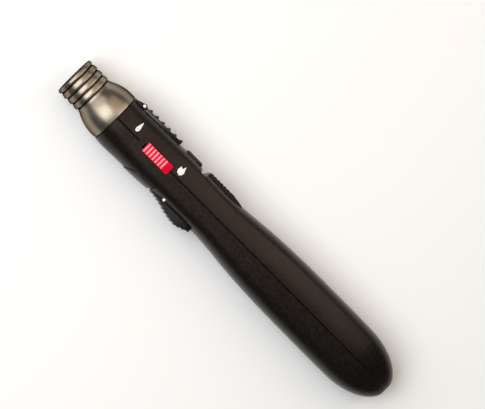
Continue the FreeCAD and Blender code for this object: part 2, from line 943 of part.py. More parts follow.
def lock_slider():
    back = lock_front + lock_length
    low = -(lock_floor + fit)
    block = prism(
        [
            (lock_front, low),
            (lock_front, 0.35 - lock_top),
            (lock_front + 0.35, -lock_top),
            (back - 0.3, -lock_top),
            (back, 0.3 - lock_top),
            (back + lock_slope, low),
        ],
        -lock_half_width,
        lock_half_width,
    )
    grooves = []
    for i in range(lock_groove_count):
        s = back - 0.7 - i * lock_groove_pitch
        deep = lock_top - lock_groove_depth
        groove = prism([(s - 0.15, -lock_top - 0.05), (s, -deep), (s + 0.15, -lock_top - 0.05)], -big, big)
        grooves.append(groove)
    tongue_front = lock_front + 1.2
    tongue_back = tongue_front + lock_tongue_length
    under = floor_thickness + fit - lock_floor
    half = lock_tongue_half_width
    tongue = box(tongue_front, tongue_back, low - 0.2, under + lock_foot, -half, half)
    foot_half = lock_foot_half_width
    foot = box(tongue_front, tongue_back, under, under + lock_foot, -foot_half, foot_half)
    return joined(block.cut(grooves), tongue, foot)


# ---- grip


def thumb_grip():
    base = box(grip_front, grip_back, -grip_base_y, -grip_seat_y, -grip_half_width, grip_half_width)
    tab_front = grip_bump_station - 1.3
    half = grip_tab_half_width
    tab = box(tab_front, grip_front + 0.5, -grip_base_y - 0.2, -grip_seat_y, -half, half)
    ribs = []
    for i in range(grip_rib_count):
        s = grip_first_rib + i * grip_rib_pitch
        y = grip_rib_radius - grip_rib_top
        ribs.append(rod_z(grip_rib_radius, -grip_half_width, grip_half_width, s, y))
    hole = rod_z(grip_pin_radius, -big, big, grip_bump_station - 0.4, -grip_pin_y())
    return joined(base, tab, *ribs).cut(hole)


def grip_pin_y():
    return grip_bump_y - grip_pin_radius - 0.45


def grip_pin():
    reach = grip_bump_half_width
    return rod_z(grip_pin_radius, -reach, reach, grip_bump_station - 0.4, -grip_pin_y())


# ---- shells


def inner_piece(side, piece):
    """The share of an inner rib or floor that lies in one half, grown just into that half's wall."""
    return piece.common(body_half(side, body_wall - 0.3))


def shell_base(side):
    shell = body_half(side, 0.0, seam_bevel)
    hollow = body_half(side, body_wall).common(half_space(side, cavity_front, total_length))
    spigot = rod(skirt_bore - fit, spigot_start, cone_end + panel_gap + 0.5)
    front = spigot.common(half_space(side, spigot_start - 1, cavity_front))
    mouth = rod(spigot_bore, spigot_start - 1, cavity_front + 1)
    tail = rod(filler_radius + press, total_length - tail_bore, total_length + 1)
    seat = rod(collar_ring_radius + press, total_length - collar_ring_thickness, total_length + 1)
    return joined(shell.cut(hollow), front).cut([mouth, tail, seat])


def piezo_ribs(side):
    """Two cradle ribs and a thrust rib that hold the piezo igniter."""
    half = piezo_side / 2 + fit
    keep_out = box(
        piezo_front - fit,
        piezo_back + fit,
        piezo_y - half,
        piezo_y + half,
        piezo_h - half,
        piezo_h + half,
    )
    ribs = [
        box(s, s + 1.2, -big, big, -big, piezo_h + piezo_side / 2)
        for s in (piezo_front + 3.5, piezo_back - 5.0)
    ]
    stop_y = abs(piezo_y) + lead_radius + 1.0
    stops = box(piezo_front - fit - 1.2, piezo_front - fit, -big, big, -big, piezo_h + piezo_side / 2)
    window = box(piezo_front - 3, piezo_front, -stop_y, stop_y, -big, big)
    return [inner_piece(side, rib.cut(keep_out)) for rib in ribs] + [
        inner_piece(side, stops.cut([window, keep_out]))
    ]


def screw_bosses(side):
    bosses = []
    for station, h in screw_places:
        boss = rod_y(screw_boss_radius, -big, big, station, h)
        bosses.append(inner_piece(side, boss))
    return bosses


def adjuster_web(side):
    """The thickened roof that the flame adjuster's pocket is sunk into."""
    half = pocket_half_width + 0.8
    low = pocket_floor - slider_web
    return inner_piece(side, box(pocket_front - 1, pocket_back + 1, -half, half, low, big))


def adjuster_pocket():
    half = pocket_half_width
    neck_front = neck_back - slider_neck_length - slider_travel
    slot_half = slider_neck_half_width + fit
    pocket = rounded_corners(box(pocket_front, pocket_back, -half, half, pocket_floor, big), pocket_corner)
    return [pocket, box(neck_front - fit, neck_back + fit, -slot_half, slot_half, 0, big)]


def back_shell():
    """The thumb half: lock channel, thumb rest, grip seat and the rear bearing of the regulator needle."""
    shell = shell_base(-1)
    floor_low = floor_thickness - lock_floor
    floor = box(lock_front - 1.5, rest_front + 2, -lock_floor - 1, floor_low, -rest_half_width - 1, rest_half_width + 1)
    notch_floor = box(lock_front + lock_length, rest_front + 1.5, -lock_floor - 1, floor_low, -big, big)
    needle_rib = box(
        needle_station - 1.5,
        needle_station + 1.5,
        -big,
        -slider_neck_half_width - fit * 2 - crank_arm_thickness - fit,
        needle_h - 1.5,
        needle_h + 1.5,
    )
    bump = prism(
        [
            (cone_end + panel_gap + 0.4, -body_sections[0][1] + 0.4),
            (grip_bump_station, -grip_bump_y),
            (grip_bump_station + 0.5, 0.35 - grip_bump_y),
            (grip_bump_station + 0.6, -grip_seat_y),
            (cone_end + panel_gap + 0.4, -grip_seat_y),
        ],
        -grip_bump_half_width,
        grip_bump_half_width,
    )
    rest_back = rest_front + rest_length
    rest = prism(
        [
            (rest_front - rest_slope, -lock_floor + 0.5),
            (rest_front - rest_slope, -lock_floor),
            (rest_front, -lock_top + 0.2),
            (rest_front + 0.2, -lock_top),
            (rest_back, -lock_top),
            (rest_back + 5.5, -body_sections[6][1] - 0.1),
            (rest_back + 5.5, -lock_floor - 0.6),
            (rest_front + 4, -lock_floor - 0.2),
        ],
        -rest_half_width,
        rest_half_width,
    )
    channel_half = lock_half_width + fit
    channel = prism(
        [
            (lock_front - fit, -lock_floor),
            (lock_front - fit, -big),
            (rest_front + 2, -big),
            (rest_front + 2, -lock_top - 1),
            (rest_front, -lock_top - 1),
            (rest_front, -lock_top + 0.2),
            (rest_front - rest_slope, -lock_floor),
        ],
        -channel_half,
        channel_half,
    )
    lock_back = lock_front + lock_length
    notch = prism(
        [
            (lock_back, -big),
            (lock_back, -lock_top),
            (lock_back + lock_slope, -lock_floor),
            (rest_front - rest_slope, -lock_floor),
            (rest_front, -lock_top),
            (rest_front, -big),
        ],
        -big,
        big,
    )
    slot_half = lock_tongue_half_width + fit
    slit_front = lock_front + 1.2 - fit
    slit_back = slit_front + lock_tongue_length + lock_travel + 2 * fit
    slit = box(slit_front, slit_back, -lock_floor - 1, 0, -slot_half, slot_half)
    seat_half = grip_half_width + press
    seat = box(grip_front - press, grip_back + press, -big, -grip_seat_y + press, -seat_half, seat_half)
    tab_half = grip_tab_half_width + press
    tab_seat = box(grip_bump_station - 1.3 - press, grip_front, -grip_base_y - 0.2 - press, -grip_seat_y + press, -tab_half, tab_half)
    grip_hole = rod_z(grip_pin_radius, -big, big, grip_bump_station - 0.4, -grip_pin_y())
    needle_hole = rod_y(needle_radius + 0.04, -big, 0, needle_station, needle_h)
    needle_hole = needle_hole.common(box(0, total_length, -slider_neck_half_width - 3.4, 0, 0, big))
    solid = joined(shell, bump, rest, *[inner_piece(-1, p) for p in (floor, notch_floor, needle_rib)])
    solid = joined(solid, adjuster_web(-1), *piezo_ribs(-1), *screw_bosses(-1))
    grooves = []
    for i in range(rest_groove_count):
        s = rest_front + 1.6 + i * rest_groove_pitch
        deep = rest_groove_depth - lock_top
        grooves.append(prism([(s - 0.4, -lock_top - 0.1), (s, deep), (s + 0.4, -lock_top - 0.1)], -big, big))
    cuts = [channel, notch, slit, seat, tab_seat, grip_hole, needle_hole]
    return solid.cut(cuts + grooves + adjuster_pocket() + screw_cuts())


def front_shell():
    """The finger half: finger guard, trigger slot with its ears, and the regulator's cradle."""
    shell = shell_base(1)
    swell = body_half(1, -guard_height).cut(body_half(1, body_wall / 2))
    arch = guard_front + guard_arch
    centre = axis_z
    corners = [
        Vector(nose_x - arch, 0, centre + guard_half_width),
        Vector(nose_x - guard_front, 0, centre),
        Vector(nose_x - arch, 0, centre - guard_half_width),
        Vector(nose_x - guard_back, 0, centre - guard_half_width),
        Vector(nose_x - guard_back, 0, centre + guard_half_width),
    ]
    tongue_edges = [Part.Arc(*corners[:3]).toShape()]
    tongue_edges += [Part.makeLine(a, b) for a, b in zip(corners[2:], corners[3:] + corners[:1])]
    tongue = Part.Face(Part.Wire(tongue_edges)).extrude(Vector(0, big, 0))
    guard = swell.common(tongue)
    brow = box(guard_back - 1.2, notch_back - 0.2, notch_floor_y - 1.4, big, -guard_half_width, guard_half_width)
    cradle_half = regulator_length / 2 - 0.6
    cradle = box(
        needle_station - cradle_half,
        needle_station + cradle_half,
        regulator_y[1] + fit,
        big,
        needle_h - regulator_half_height,
        needle_h + regulator_half_height,
    )
    ears = [
        rod_z(ear_radius, low, high, pivot_station, pivot_y)
        for low, high in (
            (trigger_half_width + slot_margin, pin_reach),
            (-pin_reach, -trigger_half_width - slot_margin),
        )
    ]
    solid = joined(shell, guard, *ears, *[inner_piece(1, p) for p in (brow, cradle)])
    solid = joined(solid, adjuster_web(1), *piezo_ribs(1), *screw_bosses(1))
    notch = prism(
        [
            (guard_back, big),
            (guard_back + 0.5, notch_floor_y),
            (notch_back, notch_floor_y),
            (notch_back + 0.3, big),
        ],
        -big,
        big,
    )
    slot_half = trigger_half_width + slot_margin
    slot = box(trigger_front - slot_margin, trigger_back + slot_margin, 0, big, -slot_half, slot_half)
    pin_hole = rod_z(pin_radius, -big, big, pivot_station, pivot_y)
    return solid.cut([notch, slot, pin_hole] + adjuster_pocket() + screw_cuts())


# ---- screws


def screw_head_y(station):
    """The y of a screw's head face: just inside the thumb side's surface."""
    for near, far in zip(body_sections, body_sections[1:]):
        if near[0] <= station <= far[0]:
            share = (station - near[0]) / (far[0] - near[0])
            return screw_sink - (near[1] + share * (far[1] - near[1]))
    turn = math.asin((station - butt_start) / butt_length)
    return screw_sink + 1.0 - body_sections[-1][1] * math.cos(turn)


def screw_cuts():
    cuts = []
    for station, h in screw_places:
        head = screw_head_y(station)
        cuts.append(rod_y(screw_head_radius + fit, -big, head + screw_head, station, h))
        cuts.append(rod_y(screw_radius + press, head, head + screw_length + 0.3, station, h))
    return cuts


def shell_screws():
    screws = []
    for station, h in screw_places:
        head = screw_head_y(station)
        solid = joined(
            rod_y(screw_head_radius, head, head + screw_head, station, h),
            rod_y(screw_radius, head, head + screw_length, station, h),
        )
        half = cross_width / 2
        reach = screw_head_radius * 0.7
        cross = [
            box(station - reach, station + reach, head - 1, head + cross_depth, h - half, h + half),
            box(station - half, station + half, head - 1, head + cross_depth, h - reach, h + reach),
        ]
        screws.append(solid.cut(cross))
    return Part.makeCompound(screws)


nodes = {
    "nozzle_sleeve": nozzle_sleeve,
    "burner_carrier": burner_carrier,
    "burner_tube": burner_tube,
    "burner_plate": burner_plate,
    "mixer_tube": mixer_tube,
    "jet_orifice": jet_orifice,
    "electrode_wire": electrode_wire,
    "electrode_insulator": electrode_insulator,
    "ignition_lead": ignition_lead,
    "ground_strip": ground_strip,
    "piezo_case": piezo_case,
    "piezo_plunger": piezo_plunger,
    "piezo_spring": piezo_spring,
    "trigger": trigger,
    "trigger_pin": trigger_pin,
    "valve_body": valve_body,
    "valve_stem": valve_stem,
    "valve_seal": valve_seal,
    "valve_spring": valve_spring,
    "valve_ring_seal": valve_ring_seal,
    "fuel_tank": fuel_tank,
    "tank_cap": tank_cap,
    "wick": wick,
    "fill_valve_body": fill_valve_body,
    "fill_valve_stem": fill_valve_stem,
    "fill_valve_spring": fill_valve_spring,
    "fill_valve_ring_seal": fill_valve_ring_seal,
    "filler_collar": filler_collar,
    "adjuster_slider": adjuster_slider,
    "regulator_needle": regulator_needle,
    "regulator_body": regulator_body,
    "front_gas_tube": front_gas_tube,
    "rear_gas_tube": rear_gas_tube,
    "lock_slider": lock_slider,
    "thumb_grip": thumb_grip,
    "grip_pin": grip_pin,
    "back_shell": back_shell,
    "front_shell": front_shell,
    "shell_screws": shell_screws,
}

os.makedirs("parts", exist_ok=True)
for name, make in nodes.items():
    shape = make()
    shape.exportStep("parts/" + name + ".step")
    print(name, "valid" if shape.isValid() else "NOT VALID", len(shape.Solids), round(shape.Volume, 2))
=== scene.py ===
import json
import math

import bmesh
import bpy
from mathutils import Matrix, Vector
from mathutils.bvhtree import BVHTree


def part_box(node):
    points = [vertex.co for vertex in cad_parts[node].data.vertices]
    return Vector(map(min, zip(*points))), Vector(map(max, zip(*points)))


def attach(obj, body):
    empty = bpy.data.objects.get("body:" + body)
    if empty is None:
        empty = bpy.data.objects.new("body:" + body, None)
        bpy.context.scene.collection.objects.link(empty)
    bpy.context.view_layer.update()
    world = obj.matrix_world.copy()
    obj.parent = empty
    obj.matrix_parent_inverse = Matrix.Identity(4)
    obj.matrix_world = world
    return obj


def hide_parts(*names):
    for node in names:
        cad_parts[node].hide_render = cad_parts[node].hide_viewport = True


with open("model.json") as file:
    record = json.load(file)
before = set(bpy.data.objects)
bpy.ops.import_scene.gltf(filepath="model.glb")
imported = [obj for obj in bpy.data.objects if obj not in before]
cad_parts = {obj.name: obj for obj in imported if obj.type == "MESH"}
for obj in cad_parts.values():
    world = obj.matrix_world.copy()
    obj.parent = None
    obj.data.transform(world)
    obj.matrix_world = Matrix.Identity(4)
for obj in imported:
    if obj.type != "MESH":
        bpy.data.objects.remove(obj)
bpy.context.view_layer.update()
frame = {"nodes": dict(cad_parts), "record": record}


mm = 0.001
slotOf = {part["node"]: part["material_slot"] for part in frame["record"]["subparts"]}
bodyOf = {n: b for b, names in frame["record"]["behaviour"]["bodies"].items() for n in names}
sleeveLow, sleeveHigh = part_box("nozzle_sleeve")
noseX = sleeveHigh.x
axisZ = (sleeveLow.z + sleeveHigh.z) / 2
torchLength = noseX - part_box("filler_collar")[0].x
print("frame loaded:", round(torchLength / mm, 1), "mm long")


# places along the torch: s mm back from the mouth, y mm to the finger side, h mm above the axis
def place(s, y, h):
    return Vector((noseX - s * mm, y * mm, axisZ + h * mm))


def newMaterial(name, look):
    mat = bpy.data.materials.new(name)
    mat.use_nodes = True
    shader = mat.node_tree.nodes["Principled BSDF"]
    for socket, value in look.items():
        shader.inputs[socket].default_value = value
    return mat, shader


def addNode(mat, kind, values=None, **settings):
    node = mat.node_tree.nodes.new(kind)
    for key, value in settings.items():
        setattr(node, key, value)
    for socket, value in (values or {}).items():
        node.inputs[socket].default_value = value
    return node


def wire(mat, source, target):
    mat.node_tree.links.new(source, target)


def objectPoint(mat, scale=(1, 1, 1), shift=(0, 0, 0)):
    where = addNode(mat, "ShaderNodeTexCoord")
    mapping = addNode(mat, "ShaderNodeMapping", {"Scale": scale, "Location": shift})
    wire(mat, where.outputs["Object"], mapping.inputs["Vector"])
    return mapping.outputs["Vector"]


def noise(mat, scale, detail, stretch=(1, 1, 1)):
    texture = addNode(mat, "ShaderNodeTexNoise", {"Scale": scale, "Detail": detail})
    wire(mat, objectPoint(mat, stretch), texture.inputs["Vector"])
    return texture.outputs["Fac"]


roughSpan = (0.35, 0.65)  # where the noise turns from a finish's low roughness to its high one


def spread(mat, fac, low, high):
    # a number that follows the noise, from low to high
    node = addNode(mat, "ShaderNodeMapRange", {1: roughSpan[0], 2: roughSpan[1], 3: low, 4: high})
    wire(mat, fac, node.inputs[0])
    return node.outputs[0]


def ramp(mat, fac, stops):
    node = addNode(mat, "ShaderNodeValToRGB")
    items = node.color_ramp.elements
    stops = list(stops)
    while len(items) < len(stops):
        items.new(0.5)
    for item, (position, colour) in zip(items, stops):
        item.position = position
        item.color = (*colour, 1)
    wire(mat, fac, node.inputs["Fac"])
    return node.outputs["Color"]


def bump(mat, shader, heights, distance):
    # several heights, each with its own strength, one on top of the other
    last = None
    for height, strength in heights:
        node = addNode(mat, "ShaderNodeBump", {"Strength": strength, "Distance": distance})
        wire(mat, height, node.inputs["Height"])
        if last is not None:
            wire(mat, last, node.inputs["Normal"])
        last = node.outputs["Normal"]
    wire(mat, last, shader.inputs["Normal"])


cloudSpan = (0.3, 0.7)  # where the noise turns from a finish's dark colour to its light one
moulding = {
    "peel": 6,  # the orange peel is this many times coarser than the grain
    "peelStrength": 0.5,  # and this much weaker
    "depth": 0.03,  # mm
}
turning = {
    "scratches": 900,
    "depth": 0.02,  # mm
}


def mouldedPlastic(name, finish):
    tint = finish.get("sheenTint", (1, 1, 1))
    look = {"Specular IOR Level": finish["specular"], "Specular Tint": (*tint, 1)}
    mat, shader = newMaterial(name, look)
    cloud = noise(mat, finish["cloudScale"], 3.0)
    colour = ramp(mat, cloud, zip(cloudSpan, (finish["dark"], finish["light"])))
    wire(mat, colour, shader.inputs["Base Color"])
    wire(mat, spread(mat, cloud, *finish["roughness"]), shader.inputs["Roughness"])
    grain = noise(mat, finish["grainScale"], 2.0)
    peel = noise(mat, finish["grainScale"] / moulding["peel"], 1.0)
    heights = [(grain, finish["grain"]), (peel, finish["grain"] * moulding["peelStrength"])]
    bump(mat, shader, heights, moulding["depth"] * mm)
    return mat


def paintedGrooveShade(mat, colour, grooveShade):
    # painted shade: the colour darkens from the outer radius to the inner one, both in mm about the
    # axis, so that the grooves look shaded
    where = objectPoint(mat, (0, 1, 1), (0, 0, -axisZ))
    length = addNode(mat, "ShaderNodeVectorMath", operation="LENGTH")
    wire(mat, where, length.inputs[0])
    fromTo = {1: grooveShade["inner"] * mm, 2: grooveShade["outer"] * mm, 3: grooveShade["least"], 4: 1.0}
    fade = addNode(mat, "ShaderNodeMapRange", fromTo)
    wire(mat, length.outputs["Value"], fade.inputs[0])
    scaled = addNode(mat, "ShaderNodeVectorMath", operation="SCALE")
    wire(mat, colour, scaled.inputs[0])
    wire(mat, fade.outputs[0], scaled.inputs["Scale"])
    return scaled.outputs["Vector"]


def metal(name, finish):
    edge = finish.get("edge", (1, 1, 1))  # how much it still reflects at its outline
    mat, shader = newMaterial(name, {"Metallic": 1.0, "Specular Tint": (*edge, 1)})
    cloud = noise(mat, finish["cloudScale"], 3.0)
    colour = ramp(mat, cloud, zip(cloudSpan, (finish["dark"], finish["light"])))
    # painted shade in the grooves between the rings
    if "grooveShade" in finish:
        colour = paintedGrooveShade(mat, colour, finish["grooveShade"])
    wire(mat, colour, shader.inputs["Base Color"])
    wire(mat, spread(mat, cloud, *finish["roughness"]), shader.inputs["Roughness"])
    scratches = noise(mat, turning["scratches"], 3.0, finish["scratch"])
    bump(mat, shader, [(scratches, finish["bump"])], turning["depth"] * mm)
    return mat


finishes = {
    "nozzle_metal": {
        "dark": (0.235, 0.195, 0.157),
        "light": (0.325, 0.285, 0.24),
        "cloudScale": 110,
        "roughness": (0.29, 0.34),
        "scratch": (12, 0.05, 0.05),
        "bump": 0.04,
        "edge": (0.08, 0.07, 0.06),
        # painted shade in the ring grooves: darker below the outer radius, down to this share of the
        # colour at the inner one
        "grooveShade": {"inner": 7.94, "outer": 8.1, "least": 0.1},
    },
    "burner_steel": {
        "dark": (0.32, 0.27, 0.24),
        "light": (0.5, 0.46, 0.44),
        "cloudScale": 300,
        "roughness": (0.25, 0.4),
        "scratch": (6, 1, 1),
        "bump": 0.3,
    },
    "brass": {
        "dark": (0.62, 0.42, 0.16),
        "light": (0.78, 0.58, 0.27),
        "cloudScale": 250,
        "roughness": (0.2, 0.35),
        "scratch": (10, 1, 1),
        "bump": 0.3,
    },
    "pin_steel": {
        "dark": (0.85, 0.85, 0.84),
        "light": (0.95, 0.95, 0.94),
        "cloudScale": 800,
        "roughness": (0.3, 0.4),
        "scratch": (1, 1, 1),
        "bump": 0.1,
    },
    "spring_steel": {
        "dark": (0.42, 0.42, 0.43),
        "light": (0.6, 0.6, 0.61),
        "cloudScale": 600,
        "roughness": (0.22, 0.35),
        "scratch": (1, 1, 1),
        "bump": 0.2,
    },
    "carrier_metal": {
        "dark": (0.4, 0.4, 0.4),
        "light": (0.56, 0.56, 0.56),
        "cloudScale": 500,
        "roughness": (0.4, 0.55),
        "scratch": (1, 1, 1),
        "bump": 0.5,
    },
    "shell_black": {
        "dark": (0.003, 0.0021, 0.0017),
        "light": (0.008, 0.0059, 0.0047),
        "cloudScale": 900,
        "roughness": (0.27, 0.35),
        "specular": 0.26,
        "sheenTint": (1, 0.84, 0.74),
        "grainScale": 5200,
        "grain": 0.35,
    },
    "control_black": {
        "dark": (0.004, 0.0034, 0.003),
        "light": (0.008, 0.0068, 0.006),
        "cloudScale": 260,
        "roughness": (0.28, 0.38),
        "specular": 0.32,
        "grainScale": 5200,
        "grain": 0.2,
    },
    "grip_black": {
        "dark": (0.007, 0.006, 0.0055),
        "light": (0.013, 0.0115, 0.0105),
        "cloudScale": 260,
        "roughness": (0.22, 0.3),
        "specular": 0.38,
        "grainScale": 5200,
        "grain": 0.12,
    },
    "piezo_plastic": {
        "dark": (0.05, 0.05, 0.055),
        "light": (0.08, 0.08, 0.085),
        "cloudScale": 300,
        "roughness": (0.35, 0.5),
        "specular": 0.5,
        "grainScale": 4000,
        "grain": 0.2,
    },
    "plunger_plastic": {
        "dark": (0.66, 0.66, 0.62),
        "light": (0.74, 0.74, 0.7),
        "cloudScale": 300,
        "roughness": (0.3, 0.4),
        "specular": 0.5,
        "grainScale": 4000,
        "grain": 0.1,
    },
    "ceramic": {
        "dark": (0.72, 0.69, 0.62),
        "light": (0.82, 0.8, 0.75),
        "cloudScale": 400,
        "roughness": (0.15, 0.3),
        "specular": 0.6,
        "grainScale": 3000,
        "grain": 0.1,
    },
    "lead_insulation": {
        "dark": (0.42, 0.02, 0.015),
        "light": (0.55, 0.035, 0.03),
        "cloudScale": 400,
        "roughness": (0.4, 0.5),
        "specular": 0.5,
        "grainScale": 4000,
        "grain": 0.1,
    },
    "hose": {
        "dark": (0.62, 0.6, 0.52),
        "light": (0.72, 0.7, 0.63),
        "cloudScale": 400,
        "roughness": (0.3, 0.4),
        "specular": 0.5,
        "grainScale": 4000,
        "grain": 0.1,
    },
    "seal_rubber": {
        "dark": (0.012, 0.012, 0.012),
        "light": (0.022, 0.022, 0.022),
        "cloudScale": 600,
        "roughness": (0.5, 0.6),
        "specular": 0.4,
        "grainScale": 4000,
        "grain": 0.1,
    },
    "tank_plastic": {
        "dark": (0.6, 0.6, 0.55),
        "light": (0.68, 0.68, 0.63),
        "cloudScale": 200,
        "roughness": (0.25, 0.35),
        "specular": 0.5,
        "grainScale": 3000,
        "grain": 0.1,
    },
    "wick": {
        "dark": (0.6, 0.56, 0.46),
        "light": (0.8, 0.77, 0.68),
        "cloudScale": 2500,
        "roughness": (0.85, 0.95),
        "specular": 0.2,
        "grainScale": 3500,
        "grain": 1.0,
    },
}
finishes["screw_steel"] = finishes["spring_steel"]
materials = {}
for slotName, finish in finishes.items():
    make = metal if "scratch" in finish else mouldedPlastic
    materials[slotName] = make(slotName, finish)


redPlastic = {
    # painted shade: the rib feet are a darker red; painted highlight: the rib tops are pink
    "valleyShade": (0.72, 0.001, 0.03),
    "body": (0.9, 0.002, 0.03),
    "crestHighlight": (1.0, 0.3, 0.38),
    "ribFoot": 10.95,  # heights above the axis, in mm
    "ribTop": 11.3,
    "bodyFrom": 0.3,  # where the colours sit on a rib, from 0 at its foot to 1 at its top
    "bodyTo": 0.85,
    "crestHighlightFrom": 0.99,
    "roughness": 0.42,
    "specular": 0.08,
    "grainScale": 4000,
    "grain": 0.12,
    "grainDepth": 0.03,  # mm
}


def makeRed():
    red = redPlastic
    look = {"Roughness": red["roughness"], "Specular IOR Level": red["specular"]}
    mat, shader = newMaterial("adjuster_red", look)
    where = addNode(mat, "ShaderNodeTexCoord")
    split = addNode(mat, "ShaderNodeSeparateXYZ")
    wire(mat, where.outputs["Object"], split.inputs[0])
    low = axisZ + red["ribFoot"] * mm
    high = axisZ + red["ribTop"] * mm
    height = addNode(mat, "ShaderNodeMapRange", {1: low, 2: high, 3: 0.0, 4: 1.0})
    wire(mat, split.outputs["Z"], height.inputs[0])
    # darker red at the rib feet is painted shade, pink at the rib tops is a painted highlight
    stops = [
        (0.0, red["valleyShade"]),
        (red["bodyFrom"], red["body"]),
        (red["bodyTo"], red["body"]),
        (red["crestHighlightFrom"], red["crestHighlight"]),
    ]
    wire(mat, ramp(mat, height.outputs[0], stops), shader.inputs["Base Color"])
    grain = noise(mat, red["grainScale"], 2.0)
    bump(mat, shader, [(grain, red["grain"])], red["grainDepth"] * mm)
    return mat


materials["adjuster_red"] = makeRed()

whitePrint = {
    "colour": (0.9, 0.9, 0.88),
    "roughness": 0.5,
    "grainScale": 6000,
    "grain": 0.2,
    "grainDepth": 0.02,  # mm
}


def makeWhitePrint():
    look = {"Base Color": (*whitePrint["colour"], 1), "Roughness": whitePrint["roughness"]}
    mat, shader = newMaterial("white_print", look)
    grain = noise(mat, whitePrint["grainScale"], 2.0)
    bump(mat, shader, [(grain, whitePrint["grain"])], whitePrint["grainDepth"] * mm)
    return mat


whitePaint = makeWhitePrint()
print("materials made:", len(materials))


def ownPiece(name, bm, node=None, mat=None, body=None, sharp=35):
    mesh = bpy.data.meshes.new(name)
    bm.to_mesh(mesh)
    bm.free()
    piece = bpy.data.objects.new(name, mesh)
    bpy.context.scene.collection.objects.link(piece)
    slotName = slotOf[node] if node else None
    mesh.materials.append(mat or materials[slotName])
    mesh.shade_smooth()
    mesh.set_sharp_from_angle(angle=math.radians(sharp))
    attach(piece, body or bodyOf[node])
    if node:
        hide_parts(node)
    return piece


softening = {
    "weld": 0.0005,  # mm; points this close become one
    "flat": 1.0,  # degrees; faces that turn less than this become one
    "sharp": 28,  # degrees; edges that turn more than this are rounded
    "segments": 2,
}


def softened(node, width):
    # the CAD piece with its sharp edges rounded; width in mm
    bm = bmesh.new()
    bm.from_mesh(frame["nodes"][node].data)
    bmesh.ops.remove_doubles(bm, verts=bm.verts, dist=softening["weld"] * mm)
    flat, sharp = math.radians(softening["flat"]), math.radians(softening["sharp"])
    bmesh.ops.dissolve_limit(
        bm, angle_limit=flat, verts=bm.verts, edges=bm.edges, delimit={"NORMAL"}
    )
    edges = [e for e in bm.edges if e.is_manifold and e.calc_face_angle(0) > sharp]
    bmesh.ops.bevel(
        bm,
        geom=edges,
        offset=width * mm,
        offset_type="OFFSET",
        affect="EDGES",
        segments=softening["segments"],
        profile=0.5,
        material=-1,
        clamp_overlap=True,
    )
    return ownPiece(node + "_finished", bm, node)


# all in mm; a point is mm back from the mouth and mm from the axis, if its note says nothing else
nozzle = {
    "mouthRadius": 8.35,
    # the rim, from the bore outwards: mm back and mm in from the mouth's radius
    "rimInside": [(1.2, 0.95), (0.35, 0.6), (0.06, 0.5)],
    "rimRound": [(0.02, 0.33), (0.12, 0.2)],  # middle and end of its rounding
    "rimSlope": [(0.16, 0.15), (0.55, -0.01)],
    "rings": 4,
    "firstGroove": 1.45,
    "ringPitch": 2.8,
    "ringCrown": 0.05,
    # a groove and the slope behind it: mm back from its front edge and mm below the rings
    "groove": [(0.06, 0.1), (0.1, 0.45), (0.7, 0.45), (0.75, 0.27), (0.82, 0.21), (1.6, 0.02)],
    "coneMiddle": (15.0, 9.95),
    "coneEnd": (22.3, 10.7),
    "coneChamfer": 0.22,
    "coneLip": [(0.04, 0.2), (0.0, 0.25)],  # mm short of the cone's end and mm below it
    "skirtBore": 9.4,
    "shoulder": 16.3,
    "bore": 7.4,
    "rimSteps": 5,
    "ringSteps": 8,
    "coneSteps": 24,
    "turnSteps": 192,
    "weld": 0.0001,
    "sharp": 18,  # degrees; edges that turn more than this stay crisp
}


def circleThrough(a, b, c):
    # centre and radius of the circle through three points
    d = 2 * (a.x * (b.y - c.y) + b.x * (c.y - a.y) + c.x * (a.y - b.y))
    x = (a.dot(a) * (b.y - c.y) + b.dot(b) * (c.y - a.y) + c.dot(c) * (a.y - b.y)) / d
    y = (a.dot(a) * (c.x - b.x) + b.dot(b) * (a.x - c.x) + c.dot(c) * (b.x - a.x)) / d
    centre = Vector((x, y))
    return centre, (a - centre).length


def arcPoints(start, middle, end, count):
    start, middle, end = Vector(start), Vector(middle), Vector(end)
    centre, radius = circleThrough(start, middle, end)
    first = math.atan2(start.y - centre.y, start.x - centre.x)
    sweep = math.atan2(end.y - centre.y, end.x - centre.x) - first
    sweep = (sweep + math.pi) % (2 * math.pi) - math.pi
    angles = [first + sweep * i / count for i in range(1, count + 1)]
    return [(centre.x + radius * math.cos(a), centre.y + radius * math.sin(a)) for a in angles]


def nozzleProfile(n):
    top = n["mouthRadius"]
    points = [(back, top - drop) for back, drop in n["rimInside"]]
    roundMiddle, roundEnd = ((back, top - drop) for back, drop in n["rimRound"])
    points += arcPoints(points[-1], roundMiddle, roundEnd, n["rimSteps"])
    points += [(back, top - drop) for back, drop in n["rimSlope"]]
    for i in range(n["rings"]):
        groove = n["firstGroove"] + i * n["ringPitch"]
        crown = ((points[-1][0] + groove) / 2, top + n["ringCrown"])
        points += arcPoints(points[-1], crown, (groove, top), n["ringSteps"])
        points += [(groove + back, top - drop) for back, drop in n["groove"]]
    endX, endR = n["coneEnd"]
    points += arcPoints(points[-1], n["coneMiddle"], (endX - n["coneChamfer"], endR), n["coneSteps"])
    points += [(endX - short, endR - drop) for short, drop in n["coneLip"]]
    points += [(endX, n["skirtBore"]), (n["shoulder"], n["skirtBore"]), (n["shoulder"], n["bore"])]
    return points


def makeNozzle():
    bm = bmesh.new()
    verts = [bm.verts.new(place(s, 0, r)) for s, r in nozzleProfile(nozzle)]
    edges = [bm.edges.new(pair) for pair in zip(verts, verts[1:] + verts[:1])]
    bmesh.ops.spin(
        bm,
        geom=verts + edges,
        cent=place(0, 0, 0),
        axis=(1, 0, 0),
        angle=2 * math.pi,
        steps=nozzle["turnSteps"],
        use_merge=True,
    )
    bmesh.ops.remove_doubles(bm, verts=bm.verts, dist=nozzle["weld"] * mm)
    bmesh.ops.recalc_face_normals(bm, faces=bm.faces)
    return ownPiece("nozzle_sleeve_finished", bm, "nozzle_sleeve", sharp=nozzle["sharp"])


for name, node in frame["nodes"].items():
    node.data.materials.clear()
    node.data.materials.append(materials[slotOf[name]])

